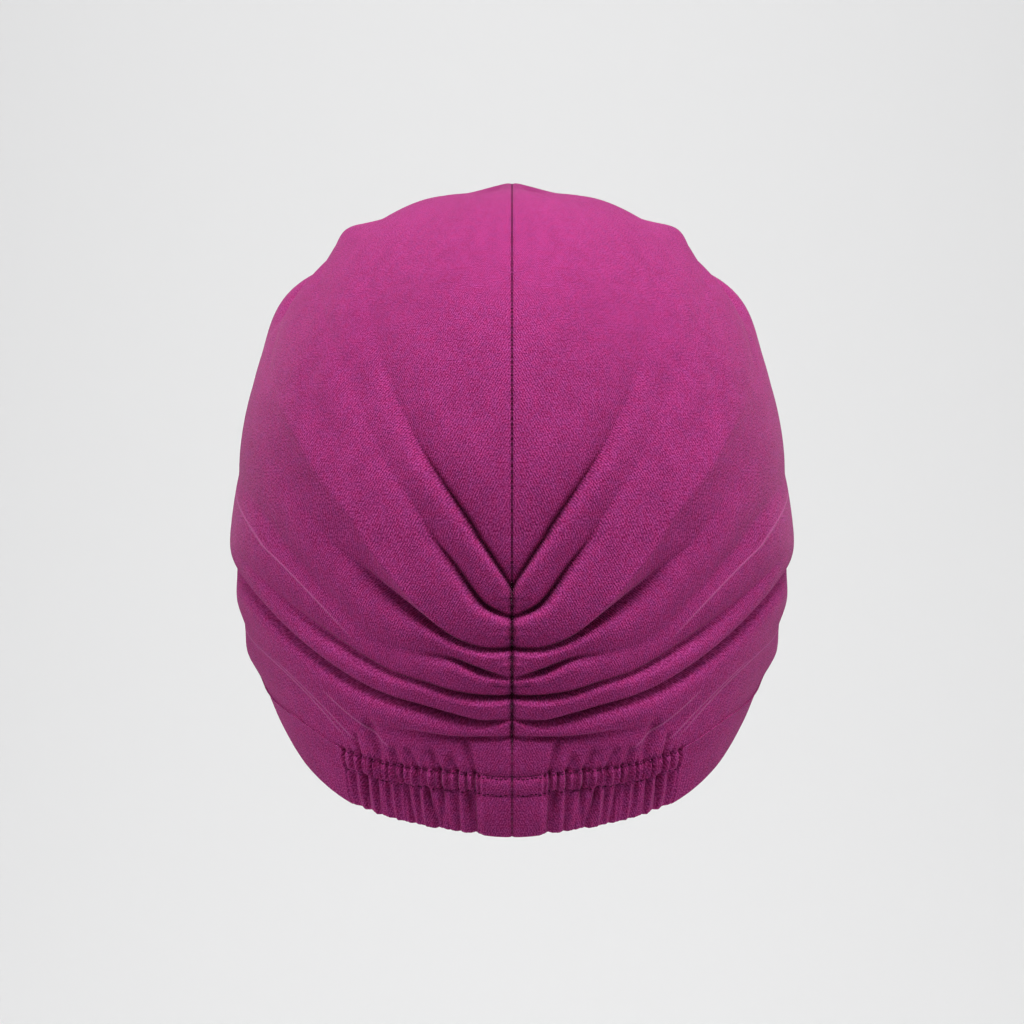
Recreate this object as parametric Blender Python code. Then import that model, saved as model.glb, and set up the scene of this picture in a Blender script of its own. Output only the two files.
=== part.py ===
"""A pull-on turban of stretch cloth: two draped halves joined on a seam that runs from the nape
over the crown to the forehead, gathered folds that leave the nape seam and sweep round the sides,
a ruched elastic casing at the nape and a plain turned hem round the sides and front.

Axes: +Z is up with the head upright, -Y is the front and X is across. The origin is the middle of
the head opening. Sizes in the tables are millimetres and degrees; objects are made in metres.
Azimuth is 0 at the middle of the back, 90 at the side and 180 at the middle of the front.
Run is the length of cloth above the widest line, so it is negative between that line and the hem.
"""

import bmesh
import bpy
import numpy as np

MM = 0.001

HALF_WIDTH = 90.6
HALF_LENGTH = 103.0
APEX_HEIGHT = 155.6
CROWN_POWER = 2.2
CROWN_RUN = 160.0
HEM_HALF_WIDTH = 79.5
HEM_HALF_LENGTH = 92.0
HEM_SHIFT = -1.0

CLOTH_WALL = 1.6
CASING_WALL = 2.4
HEM_WALL = 2.2
JOINT_GAP = 0.3
WALL_FOLLOW = 0.85

SEAM_WIDTH = 1.6
APEX_CALM = 7.0
APEX_PEAK = 1.0
APEX_REACH = 26.0
BOTTOM_SHARE = 0.3
SLOT_SHARE = 0.75
SLOT_REACH = 0.8
CASING_END = 38.0

# azimuth, height of the hem, height of the widest line, height of the hem band
GIRTH = (
    (0, -43.5, 48.0, 19.0),
    (12, -42.3, 47.0, 19.3),
    (22, -40.7, 46.2, 18.6),
    (36, -36.8, 44.8, 18.2),
    (52, -27.5, 43.4, 17.0),
    (65, -16.0, 41.8, 9.6),
    (77, -6.5, 40.6, 4.6),
    (90, 3.0, 40.0, 5.0),
    (120, 24.0, 46.5, 9.5),
    (150, 39.0, 55.5, 12.0),
    (180, 44.0, 64.0, 12.0),
)

# run of each crease at these azimuths, from the lowest crease at the nape to the crown crease
FOLD_AZIMUTHS = (0, 6, 12, 18, 25, 32, 40, 50, 65, 90, 130, 180)
FOLD_PATHS = (
    ("casing_shadow", (-60.5, -60.5, -60, -58.5, -56.5, -55, -51.5, -44.5, -35.5, -18, 1.5, 2)),
    ("long_crease", (-55, -56, -54, -51.2, -48, -43.9, -38, -30, -16.5, -6.5, 7.5, 10)),
    ("third_crease", (-48.5, -48.2, -46.4, -43.2, -40, -35, -28.5, -20, -7, 7, 18, 18)),
    ("side_crease", (-42.8, -40.2, -35.8, -33.5, -31, -25.5, -14.5, -2.5, 10, 19, 31, 27)),
    ("short_crease", (-34, -33.4, -29.8, -23.2, -15.3, -6.3, 2.2, 13.5, 26, 46, 54, 37)),
    ("facet_edge", (-29, -27.5, -27, -19.3, -6.8, 5.8, 15.8, 29, 43, 78, 87, 50)),
    ("second_crease", (-24.5, -19.6, -6.5, 5.5, 18, 33, 48, 63, 78, 96, 102, 66)),
    ("crown_crease", (-15, -1.2, 10, 21.5, 37, 54, 74, 93, 108, 116, 116, 86)),
)

# depth of each crease at the same azimuths; below zero it is a raised edge
FOLD_DEPTHS = (
    ("casing_shadow", (0.8, 1.8, 2.2, 2.0, 1.4, 0.8, 0.6, 0.5, 0.5, 0.8, 0.5, 1.2)),
    ("long_crease", (0.4, 3.0, 4.0, 3.8, 3.2, 3.6, 4.4, 5.0, 4.6, 1.2, 1.2, 2.0)),
    ("third_crease", (2.2, 3.4, 3.2, 2.6, 2.8, 3.4, 3.6, 2.4, 0.6, 0.1, 0.8, 2.2)),
    ("side_crease", (0.4, 3.4, 2.6, 2.0, 2.2, 2.2, 2.4, 2.2, 1.2, 0.9, 1.2, 2.4)),
    ("short_crease", (2.4, 2.8, 3.4, 4.8, 5.0, 3.4, 1.8, 0.6, 0.1, 0.2, 0.8, 2.4)),
    ("facet_edge", (0.0, 0.0, 0.0, -1.4, -2.0, -1.8, -1.5, -1.0, 0.1, 1.6, 1.6, 2.4)),
    ("second_crease", (1.8, 4.0, 3.6, 1.8, 1.6, 1.5, 1.1, 0.7, 0.4, 1.0, 0.8, 2.4)),
    ("crown_crease", (2.2, 3.6, 3.8, 3.6, 3.0, 2.2, 1.3, 0.5, 0.4, 0.9, 1.4, 2.4)),
)

# how far each crease reaches up the cloth
UPPER_REACHES = (
    ("casing_shadow", (1.0, 1.0, 1.0, 1.2, 1.5, 2.0, 3.0, 3.0, 3.0, 3.0, 3.0, 3.0)),
    ("long_crease", (1.8, 2.4, 3.0, 3.2, 3.0, 2.2, 1.4, 1.1, 1.2, 4.0, 3.0, 3.0)),
    ("third_crease", (2.6, 3.6, 4.2, 4.2, 4.0, 3.6, 3.4, 3.6, 3.0, 3.0, 3.0, 3.0)),
    ("side_crease", (2.0, 2.6, 3.0, 3.0, 3.5, 4.5, 5.0, 5.0, 5.0, 6.0, 4.0, 3.2)),
    ("short_crease", (4.5, 4.0, 3.0, 2.8, 4.6, 6.5, 7.5, 6.5, 4.0, 3.0, 3.0, 3.0)),
    ("facet_edge", (4.0, 4.0, 4.0, 4.0, 4.0, 5.0, 6.0, 7.0, 5.0, 5.0, 6.0, 6.0)),
    ("second_crease", (3.0, 4.2, 4.6, 5.0, 7.0, 7.0, 7.0, 7.0, 4.0, 4.0, 4.0, 4.0)),
    ("crown_crease", (3.0, 4.0, 5.0, 7.0, 9.0, 10.0, 10.0, 9.0, 7.0, 7.0, 7.0, 7.0)),
)

# how far each crease reaches down the cloth
LOWER_REACHES = (
    ("casing_shadow", (6.0, 6.0, 6.0, 6.0, 5.0, 5.0, 4.0, 4.0, 3.0, 3.0, 3.0, 3.0)),
    ("long_crease", (1.2, 1.6, 1.8, 1.6, 1.3, 1.0, 1.0, 1.1, 1.5, 4.0, 1.8, 1.8)),
    ("third_crease", (0.8, 0.8, 0.9, 1.0, 1.0, 1.2, 1.6, 2.2, 2.0, 2.0, 2.0, 2.0)),
    ("side_crease", (0.8, 0.8, 1.0, 3.0, 4.5, 4.2, 4.5, 4.5, 4.0, 4.0, 2.4, 1.8)),
    ("short_crease", (0.8, 0.8, 0.8, 1.1, 2.0, 3.4, 4.0, 3.6, 2.0, 2.0, 1.6, 1.5)),
    ("facet_edge", (2.0, 2.0, 2.0, 1.8, 3.0, 3.6, 3.6, 3.6, 3.0, 5.0, 4.0, 4.0)),
    ("second_crease", (0.8, 0.8, 1.0, 2.5, 4.0, 4.0, 4.0, 3.0, 2.0, 2.0, 2.0, 2.0)),
    ("crown_crease", (0.8, 0.8, 0.9, 1.3, 3.0, 5.0, 5.0, 5.0, 4.0, 4.0, 2.0, 2.0)),
)

# how far round from the nape seam each crease keeps a narrow slot at its bottom, in degrees
SLOT_SPREADS = (
    ("casing_shadow", 20),
    ("long_crease", 75),
    ("third_crease", 35),
    ("side_crease", 15),
    ("short_crease", 26),
    ("facet_edge", 20),
    ("second_crease", 14),
    ("crown_crease", 13),
)

# broad swellings: azimuth, its spread, run, its spread, height
SWELLINGS = (
    ("crown_slope", 90, 120, 145, 9, -1.4),
    ("crown_ridge", 96, 22, 101.5, 8.0, 3.9),
    ("side_lobe", 107, 23, 67.5, 18, 6.2),
    ("side_hollow", 88, 5, 75, 13, -4.0),
    ("ear_lobe", 90, 26, 0, 8, 1.2),
    ("lower_lobe", 84, 22, -18, 6, 0.8),
    ("hanging_lobe", 88, 14, -35, 7, 3.2),
    ("nape_rolls", 10, 24, -34, 24, 1.6),
)

# azimuth and depth of the gathers in one half of the casing, and how far each leans, in degrees
GATHERS = (
    (8.9, 3.2, 1.6),
    (12.0, 1.4, 1.6),
    (14.6, 1.8, 2.0),
    (17.6, 3.0, 3.2),
    (20.3, 1.5, 2.4),
    (22.7, 3.0, 1.6),
    (25.0, 1.6, 0.8),
    (27.4, 2.7, 0.6),
    (30.3, 2.6, 0.5),
    (33.3, 2.8, 0.4),
    (36.2, 2.5, 0.2),
)
GATHER_REACH = 1.5

CLOTH_COLOUR = (0.31, 0.042, 0.19, 1.0)
CLOTH_ROUGHNESS = 0.88

PANEL_COLUMNS = 44
ROWS_PER_FOLD = (2, 2, 4, 2, 4, 2, 4, 4, 10)
CASING_COLUMNS = 38
HEM_COLUMNS = 26


def smooth_table(x, stations, values, level_ends=False):
    """Cubic through a table: at each station it has the slope of the parabola through three
    neighbours; at both ends that of the last step, or none."""
    xs = np.asarray(stations, float)
    ys = np.asarray(values, float)
    step = np.diff(xs)
    rise = np.diff(ys) / step
    slope = np.zeros_like(ys)
    slope[1:-1] = (rise[:-1] * step[1:] + rise[1:] * step[:-1]) / (step[1:] + step[:-1])
    if not level_ends:
        slope[0], slope[-1] = rise[0], rise[-1]
    i = np.clip(np.searchsorted(xs, x, side="right") - 1, 0, len(xs) - 2)
    t = np.clip((x - xs[i]) / step[i], 0.0, 1.0)
    start = (2 * t**3 - 3 * t**2 + 1) * ys[i] + (t**3 - 2 * t**2 + t) * step[i] * slope[i]
    end = (3 * t**2 - 2 * t**3) * ys[i + 1] + (t**3 - t**2) * step[i] * slope[i + 1]
    return start + end


def girth(azimuth, column):
    """A column of the GIRTH table at any azimuth."""
    table = np.array(GIRTH, float)
    return smooth_table(azimuth, table[:, 0], table[:, column], level_ends=True)


def hem_run(azimuth):
    """Run of the hem's lower edge, a negative length."""
    return girth(azimuth, 1) - girth(azimuth, 2)


def band_run(azimuth):
    """Run of the line where the hem band meets the draped cloth."""
    return hem_run(azimuth) + girth(azimuth, 3)


def crease_run(index, azimuth):
    return smooth_table(azimuth, FOLD_AZIMUTHS, FOLD_PATHS[index][1])


def base_form(azimuth, run):
    """Smooth form and its outward normal.

    Above the widest line it is a superellipse from that line to the apex; below, the girth
    draws in to the hem with the square of the share of the drop.
    """
    a = np.radians(azimuth)
    across, along = np.sin(a), np.cos(a)
    wide = girth(azimuth, 2)
    hem = girth(azimuth, 1)
    angle = np.clip(run / CROWN_RUN, 0, 1) * np.pi / 2
    ring = np.cos(angle) ** (2 / CROWN_POWER)
    rise = np.sin(angle) ** (2 / CROWN_POWER)
    drop = np.clip(-run / (wide - hem), 0, 1.2)
    upper = run >= 0
    width = np.where(upper, HALF_WIDTH * ring, HALF_WIDTH + (HEM_HALF_WIDTH - HALF_WIDTH) * drop**2)
    length = np.where(
        upper, HALF_LENGTH * ring, HALF_LENGTH + (HEM_HALF_LENGTH - HALF_LENGTH) * drop**2
    )
    shift = np.where(upper, 0, HEM_SHIFT * drop**2)
    z = np.where(upper, wide + (APEX_HEIGHT - wide) * rise, wide - (wide - hem) * drop)
    point = np.stack([width * across, shift + length * along, z], -1)
    tilt_up = rise ** (CROWN_POWER - 1) / (APEX_HEIGHT - wide)
    tilt_down = 2 * drop * (HEM_HALF_WIDTH - HALF_WIDTH) / (wide - hem) / HALF_WIDTH
    flat = np.where(upper, ring ** (CROWN_POWER - 1), 1.0)
    normal = np.stack(
        [flat * across / HALF_WIDTH, flat * along / HALF_LENGTH, np.where(upper, tilt_up, tilt_down)],
        -1,
    )
    return point, normal / np.linalg.norm(normal, axis=-1, keepdims=True)


def relief(azimuth, run):
    """Height of the cloth over the smooth form.

    Each crease is depth times exp(-distance / reach), with one reach above it and another below,
    where distance is measured square to the crease and its bottom is rounded over a share of the
    shorter reach; near the nape seam it closes to a narrow slot. Broad swellings are Gaussian. The
    seam draws the edge in, most where it is ruched below the crown crease, and near the top its
    turned-in edges lift a low ridge.
    """
    height = np.zeros_like(run)
    angle = np.clip(run / CROWN_RUN, 0, 1) * np.pi / 2
    radius = HALF_WIDTH * np.cos(angle) ** (2 / CROWN_POWER)
    for index in range(len(FOLD_PATHS)):
        path = crease_run(index, azimuth)
        ahead = crease_run(index, azimuth + 0.5)
        slope = (ahead - path) / np.radians(0.5) / np.maximum(radius, 10)
        away = (run - path) / np.sqrt(1 + slope**2)
        depth = smooth_table(azimuth, FOLD_AZIMUTHS, FOLD_DEPTHS[index][1])
        upper = smooth_table(azimuth, FOLD_AZIMUTHS, UPPER_REACHES[index][1])
        lower = smooth_table(azimuth, FOLD_AZIMUTHS, LOWER_REACHES[index][1])
        soft = BOTTOM_SHARE * np.minimum(upper, lower)
        rounded = np.sqrt(away**2 + soft**2) - soft
        height -= depth * np.exp(-rounded / np.where(away > 0, upper, lower))
        slot = np.exp(-((away / SLOT_REACH) ** 2) - (azimuth / SLOT_SPREADS[index][1]) ** 2)
        height -= SLOT_SHARE * depth * slot
    for _, centre, spread, middle, reach, bulge in SWELLINGS:
        height += bulge * np.exp(-(((azimuth - centre) / spread) ** 2) - ((run - middle) / reach) ** 2)
    calm = 1 - np.exp(-(((CROWN_RUN - run) / APEX_CALM) ** 2))
    back = azimuth < 90
    low = np.where(back, -62.0, -8.0)
    high = np.where(back, -14.0, 92.0)
    ruched = 1 / (1 + np.exp((low - run) / 2.0)) / (1 + np.exp((run - high) / 2.0))
    from_seam = radius * np.sin(np.radians(azimuth))
    height -= 0.7 * np.exp(-from_seam / SEAM_WIDTH)
    height -= 2.0 * ruched * np.exp(-from_seam / (1.6 * SEAM_WIDTH))
    ridge = np.exp(-((from_seam / 4.5) ** 2)) * np.exp(-(((CROWN_RUN - run) / APEX_REACH) ** 2))
    return height * calm + APEX_PEAK * ridge


def gathering(azimuth, run):
    """Depth of the casing's gathers, full at the hem edge and dying out above the stitch rows."""
    share = np.clip((run - hem_run(azimuth)) / girth(azimuth, 3), 0, 1)
    height = np.zeros_like(run)
    for centre, depth, lean in GATHERS:
        away = np.abs(azimuth - centre - lean * (share - 0.35)) * np.radians(1) * 84.0
        height -= depth * np.exp(-((away / GATHER_REACH) ** 1.6))
    return height * np.clip(1.15 - share, 0, 1)


def closed_grid(outer, inner):
    """Faces of a wall: outer and inner grids of points with a rim round all four edges.

    The inner grid has the same columns and one row for each `ratio` rows of the outer one, so
    the side rims are fans of `ratio` triangles and one more.
    """
    rows, columns = outer.shape[:2]
    thin_rows = inner.shape[0]
    ratio = (rows - 1) // (thin_rows - 1)
    points = np.concatenate([outer.reshape(-1, 3), inner.reshape(-1, 3)])
    out = np.arange(rows * columns).reshape(rows, columns)
    ins = rows * columns + np.arange(thin_rows * columns).reshape(thin_rows, columns)

    def skin(ids, outward):
        a, b, c, d = ids[:-1, :-1], ids[:-1, 1:], ids[1:, 1:], ids[1:, :-1]
        quad = (a, d, c, b) if outward else (a, b, c, d)
        return np.stack([q.ravel() for q in quad], 1)

    faces = [skin(out, True), skin(ins, False)]
    bottom = np.stack([out[0, :-1], out[0, 1:], ins[0, 1:], ins[0, :-1]], 1)
    top = np.stack([out[-1, 1:], out[-1, :-1], ins[-1, :-1], ins[-1, 1:]], 1)
    faces += [bottom, top]
    for column, turned in ((0, True), (columns - 1, False)):
        edge, back = out[:, column], ins[:, column]
        for k in range(ratio):
            fan = np.stack([edge[k : rows - 1 : ratio], edge[k + 1 :: ratio], back[1:]], 1)
            faces.append(fan[:, ::-1] if turned else fan)
        last = np.stack([edge[0 : rows - 1 : ratio], back[1:], back[:-1]], 1)
        faces.append(last[:, ::-1] if turned else last)
    return points, [tuple(int(v) for v in face) for block in faces for face in block]


def draped_points(azimuth, run, sink):
    """Points on the cloth, or `sink` millimetres below its face when sink is above zero."""
    point, normal = base_form(azimuth, run)
    height = relief(azimuth, run)
    if sink:
        height = WALL_FOLLOW * height - sink
    return point + normal * height[..., None]


def band_points(azimuth, run, sink, gathered):
    point, normal = base_form(azimuth, run)
    height = relief(azimuth, band_run(azimuth))
    if gathered:
        height = height + gathering(azimuth, run)
    if sink:
        height = 0.5 * height - sink
    return point + normal * height[..., None]


def add_object(name, points, faces, mirrored):
    """One mesh object, half the seam gap off the middle plane; a mirrored one is turned over.

    Points that fall together, as they do at the apex, are merged.
    """
    placed = points.copy()
    placed[:, 0] += JOINT_GAP / 2
    if mirrored:
        placed[:, 0] *= -1
        faces = [face[::-1] for face in faces]
    mesh = bpy.data.meshes.new(name)
    mesh.from_pydata((placed * MM).tolist(), [], faces)
    cloth = bmesh.new()
    cloth.from_mesh(mesh)
    bmesh.ops.remove_doubles(cloth, verts=cloth.verts, dist=1e-7)
    bmesh.ops.recalc_face_normals(cloth, faces=cloth.faces)
    cloth.to_mesh(mesh)
    cloth.free()
    mesh.shade_smooth()
    mesh.set_sharp_from_angle(angle=np.radians(50))
    material = bpy.data.materials.new(name + "_cloth")
    material.use_nodes = True
    shader = material.node_tree.nodes["Principled BSDF"]
    shader.inputs["Base Color"].default_value = CLOTH_COLOUR
    shader.inputs["Roughness"].default_value = CLOTH_ROUGHNESS
    shader.inputs["Metallic"].default_value = 0.0
    mesh.materials.append(material)
    thing = bpy.data.objects.new(name, mesh)
    bpy.context.scene.collection.objects.link(thing)
    return thing


def panel_rows():
    """Row stations: 0 is the band line, 1 to 8 the creases and 9 the apex, close together
    beside each crease."""
    rows = [0.0]
    for index, count in enumerate(ROWS_PER_FOLD):
        share = np.arange(1, count + 1) / count
        eased = 0.5 - 0.5 * np.cos(np.pi * share)
        rows += list(index + 0.35 * share + 0.65 * eased)
    return np.array(rows)


def row_run(station, azimuth):
    """Run at a row station, along the flow of the folds."""
    lines = [band_run(azimuth) + JOINT_GAP]
    lines += [crease_run(index, azimuth) for index in range(len(FOLD_PATHS))]
    lines += [np.full_like(azimuth, CROWN_RUN)]
    lines = np.stack(lines)
    i = np.clip(station.astype(int), 0, len(lines) - 2)
    t = station - i
    low = np.take_along_axis(lines, i[None], 0)[0]
    high = np.take_along_axis(lines, i[None] + 1, 0)[0]
    return low + (high - low) * t


def make_panel(name, mirrored):
    turn = np.linspace(0, 1, PANEL_COLUMNS + 1)
    columns = 180 * (turn - 0.3 / (2 * np.pi) * np.sin(2 * np.pi * turn))
    stations = panel_rows()
    azimuth, station = np.meshgrid(columns, stations)
    run = row_run(station, azimuth)
    outer = draped_points(azimuth, run, 0.0)
    inner = draped_points(azimuth[::2], run[::2], CLOTH_WALL)
    points, faces = closed_grid(outer, inner)
    add_object(name, points, faces, mirrored)


def make_band(name, mirrored, start, end, count, rows, wall, gathered):
    """A strip of the hem between two azimuths, from the lower edge to the band line."""
    columns = np.linspace(start, end, count + 1)
    share = np.linspace(0, 1, rows + 1)
    azimuth, part = np.meshgrid(columns, share)
    run = hem_run(azimuth) + (girth(azimuth, 3)) * part
    outer = band_points(azimuth, run, 0.0, gathered)
    inner = band_points(azimuth[::2], run[::2], wall, gathered)
    points, faces = closed_grid(outer, inner)
    add_object(name, points, faces, mirrored)


for old in list(bpy.data.objects):
    bpy.data.objects.remove(old, do_unlink=True)

for side, flip in (("right", True), ("left", False)):
    make_panel(side + "_panel", flip)
    make_band(side + "_nape_casing", flip, 0, CASING_END, CASING_COLUMNS, 6, CASING_WALL, True)
    make_band(side + "_hem", flip, CASING_END + 0.25, 180, HEM_COLUMNS, 4, HEM_WALL, False)
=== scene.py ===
"""Looks of a pull-on turban in magenta cotton jersey, seen from behind as in the photograph.

The cloth is worked out on grids of two parameters. Azimuth runs from 0 at the middle of the back
past 90 at the side to 180 at the middle of the front. Run is the length of cloth above the widest
line, negative below it. Tables are in millimetres and degrees, and meshes are made in metres.
"""

import bmesh
import bpy
import numpy as np
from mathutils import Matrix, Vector


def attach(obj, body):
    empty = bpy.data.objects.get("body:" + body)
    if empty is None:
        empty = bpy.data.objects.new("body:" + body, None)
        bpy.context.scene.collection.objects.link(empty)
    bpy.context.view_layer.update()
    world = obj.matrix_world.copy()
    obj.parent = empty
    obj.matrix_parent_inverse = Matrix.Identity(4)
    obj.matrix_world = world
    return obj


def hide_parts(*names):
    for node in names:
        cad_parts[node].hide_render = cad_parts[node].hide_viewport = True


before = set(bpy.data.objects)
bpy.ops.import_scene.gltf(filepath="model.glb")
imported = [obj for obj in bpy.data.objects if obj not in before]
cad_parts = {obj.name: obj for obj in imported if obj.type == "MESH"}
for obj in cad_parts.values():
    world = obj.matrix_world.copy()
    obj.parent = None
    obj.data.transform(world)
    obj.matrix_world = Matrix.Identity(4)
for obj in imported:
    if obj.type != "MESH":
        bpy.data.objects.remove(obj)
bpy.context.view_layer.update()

MM = 0.001

# the smooth form
HALF_WIDTH = 90.6
HALF_LENGTH = 103.0
APEX_HEIGHT = 155.6
CROWN_POWER = 2.2
CROWN_RUN = 160.0
HEM_HALF_WIDTH = 79.5
HEM_HALF_LENGTH = 92.0
HEM_SHIFT = -1.0

# mean radius of the form at the widest line and at the casing, for lengths along the cloth
WIDEST_RADIUS = 96.0
CASING_RADIUS = 84.0

# the walls, the gap between the two halves and, in degrees, that between casing and plain hem
CLOTH_WALL = 1.6
CASING_WALL = 2.4
HEM_WALL = 2.2
SEAM_GAP = 0.002
STRIP_GAP = 0.002

# the slope of a crease is taken over this many degrees, on a ring no smaller than this radius
SLOPE_STEP = 0.5
LEAST_RADIUS = 10.0

# the creases: share of the shorter reach that rounds the bottom, and the slot near the nape seam
BOTTOM_SHARE = 0.3
SLOT_SHARE = 0.75
SLOT_REACH = 0.8

# the centre seam: how far it draws the cloth in and over what width, plain and ruched, and the
# groove between the two edges
SEAM_PULL = 0.7
SEAM_WIDTH = 1.6
RUCHED_PULL = 2.0
RUCHED_WIDTH = 2.56
SEAM_GROOVE = 0.55
GROOVE_REACH = 0.5

# the runs between which the seam is ruched, at the back and at the front, and the step at each end
RUCHED_BACK = (-62.0, -14.0)
RUCHED_FRONT = (-8.0, 92.0)
RUCHED_STEP = 2.0

# the seam's turned-in edges: how far they stand inwards and reach sideways, and how they die out
# below the apex
ALLOWANCE_DEPTH = 3.0
ALLOWANCE_REACH = 3.0
ALLOWANCE_CALM = 12.0

# the apex, where the relief dies out and the seam stands up as a low ridge
APEX_CALM = 7.0
RIDGE_HEIGHT = 1.0
RIDGE_LENGTH = 26.0
RIDGE_WIDTH = 4.5

# puckers square to the ruched seam, and the tucks along it with a width that changes; a wave is its
# closeness in radians a millimetre and the amount and closeness of each wander
PUCKER_HEIGHT = 0.28
PUCKER_REACH = 2.6
PUCKER_WAVE = (2.1, (0.9, 0.63))
TUCK_DEPTH = 1.1
TUCK_WIDTH = 0.7
TUCK_CHANGE = 0.3
TUCK_WAVE = (0.8, (1.3, 0.37))

# pulls that fan up from a point: its run, their height, where they are highest and how far they
# reach up and sideways, and closeness and start of the two sines that make them
FAN_POINT = -16.0
FAN_HEIGHT = 0.22
FAN_MIDDLE = 45.0
FAN_LENGTH = 40.0
FAN_WIDTH = 28.0
FAN_SINES = ((34, 1.1), (13, 0.4))

# shallow waves of the crown: height, calm below the apex and beside the seam, and closeness round
# the form, closeness up it and start of the two sines that make them
WAVE_HEIGHT = 0.35
WAVE_CALM = 30.0
WAVE_RISE = 12.0
WAVE_SINES = ((0.11, 0.045, 0.6), (0.07, -0.063, 2.0))

# the casing: its end and the step there in degrees, its height, and its stitch rows as shares of
# that height, the lower one dipping towards the end
CASING_END = 38.0
CASING_STEP = 1.0
CASING_HEIGHT = 19.0
STITCH_ROW_LOW = 0.70
STITCH_ROW_DIP = 0.07
STITCH_ROW_HIGH = 0.965

# how deep both stitch rows draw the casing in, and how far that reaches
ROW_DEPTH_LOW = 0.45
ROW_DEPTH_HIGH = 0.3
ROW_REACH = 0.7

# how far the casing puffs out below and above its lower row, and its groove at the centre seam
PUFF_LOW = 0.5
PUFF_HIGH = 0.4
CASING_GROOVE = 0.5
CASING_GROOVE_REACH = 0.45

# fine ruching of the casing: azimuth where it starts, the step there, and height and wave of both
# its parts
RUCHING_START = 6.5
RUCHING_STEP = 0.7
RUCHING = ((0.38, (2.5, (0.9, 0.53), (0.5, 1.13))), (0.16, (4.3, (1.1, 0.9))))

# the hem's lower edge keeps this share of the folds above it; its upper edge, over this reach, is
# drawn in at the casing and stands proud elsewhere
HEM_CALM = 0.35
EDGE_REACH = 0.7
CASING_EDGE = -0.5
HEM_EDGE = 0.45

# where the draped cloth goes under the casing: how deep and how far, and how far up it is ruched
TUCKED_DEPTH = 0.75
TUCKED_REACH = 0.8
TUCKED_RUCHING = 2.2

# share of the outer face's relief that the inner face follows
PANEL_INSIDE = 0.9
HEM_INSIDE = 0.4

# a stitch as rings along it: place in shares of its length, bow outwards, share of the radius
STITCH_RINGS = (
    (-0.5, -0.10, 0.45),
    (-0.3, 0.06, 1.0),
    (0.3, 0.06, 1.0),
    (0.5, -0.10, 0.45),
)
THREAD_RADIUS = 0.15
THREAD_SIDES = 6

# stitches of the casing: start, pitch, length and lift, how far a row wanders in shares of the
# height and how closely, the upper row's part of that, the upright row's place and first share and
# the casing's height there, and the steps ahead along both kinds of row
ROW_START = 2.0
ROW_PITCH = 1.35
ROW_STITCH = 0.85
ROW_LIFT = 0.02
ROW_WANDER = 0.012
ROW_CLOSENESS = 5.1
UPPER_WANDER = 0.6
UPRIGHT_INSET = 0.7
UPRIGHT_START = 0.65
UPRIGHT_HEIGHT = 18.5
ROW_AHEAD = 0.1
UPRIGHT_AHEAD = 0.01

# stitches that close the ruched nape seam: first run, pitch, its change and how closely, slant, its
# change and how closely, length, lift, and azimuth at which the cloth's height is taken
NAPE_START = -61.0
NAPE_PITCH = 1.7
NAPE_CHANGE = 0.4
NAPE_CLOSENESS = 2.3
NAPE_SLANT = 0.7
SLANT_CHANGE = 0.5
SLANT_CLOSENESS = 1.7
NAPE_STITCH = 1.5
NAPE_LIFT = 0.25
NAPE_AZIMUTH = 0.25

# dark stitches end to end along the seam over the crown, painted shade for the dark line of the seam's
# groove: first runs at the back and the front, pitch, length, lift, azimuth at which the cloth's height
# is taken, and the run left clear below the apex
CROWN_START = -15.0
FRONT_START = -2.0
CROWN_PITCH = 1.9
CROWN_STITCH = 1.8
CROWN_LIFT = 0.12
CROWN_AZIMUTH = 0.1
CROWN_CLEAR = 2.0

# azimuth, height of the hem, height of the widest line, height of the hem band
GIRTH = (
    (0, -43.5, 48.0, 19.0),
    (12, -42.3, 47.0, 19.3),
    (22, -40.7, 46.2, 18.6),
    (36, -36.8, 44.8, 18.2),
    (52, -27.5, 43.4, 17.0),
    (65, -16.0, 41.8, 9.6),
    (77, -6.5, 40.6, 4.6),
    (90, 3.0, 40.0, 5.0),
    (120, 24.0, 46.5, 9.5),
    (150, 39.0, 55.5, 12.0),
    (180, 44.0, 64.0, 12.0),
)

# run of each crease at these azimuths, from the lowest crease at the nape to the crown crease
FOLD_AZIMUTHS = (0, 6, 12, 18, 25, 32, 40, 50, 65, 90, 130, 180)
FOLD_PATHS = (
    ("casing_shadow", (-60.5, -60.5, -60, -58.5, -56.5, -55, -51.5, -44.5, -35.5, -18, 1.5, 2)),
    ("long_crease", (-55, -56, -54, -51.2, -48, -43.9, -38, -30, -16.5, -6.5, 7.5, 10)),
    ("third_crease", (-48.5, -48.2, -46.4, -43.2, -40, -35, -28.5, -20, -7, 7, 18, 18)),
    ("side_crease", (-42.8, -40.2, -35.8, -33.5, -31, -25.5, -14.5, -2.5, 10, 19, 31, 27)),
    ("short_crease", (-34, -33.4, -29.8, -23.2, -15.3, -6.3, 2.2, 13.5, 26, 46, 54, 37)),
    ("facet_edge", (-29, -27.5, -27, -19.3, -6.8, 5.8, 15.8, 29, 43, 78, 87, 50)),
    ("second_crease", (-24.5, -19.6, -6.5, 5.5, 18, 33, 48, 63, 78, 96, 102, 66)),
    ("crown_crease", (-15, -1.2, 10, 21.5, 37, 54, 74, 93, 108, 116, 116, 86)),
)

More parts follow.
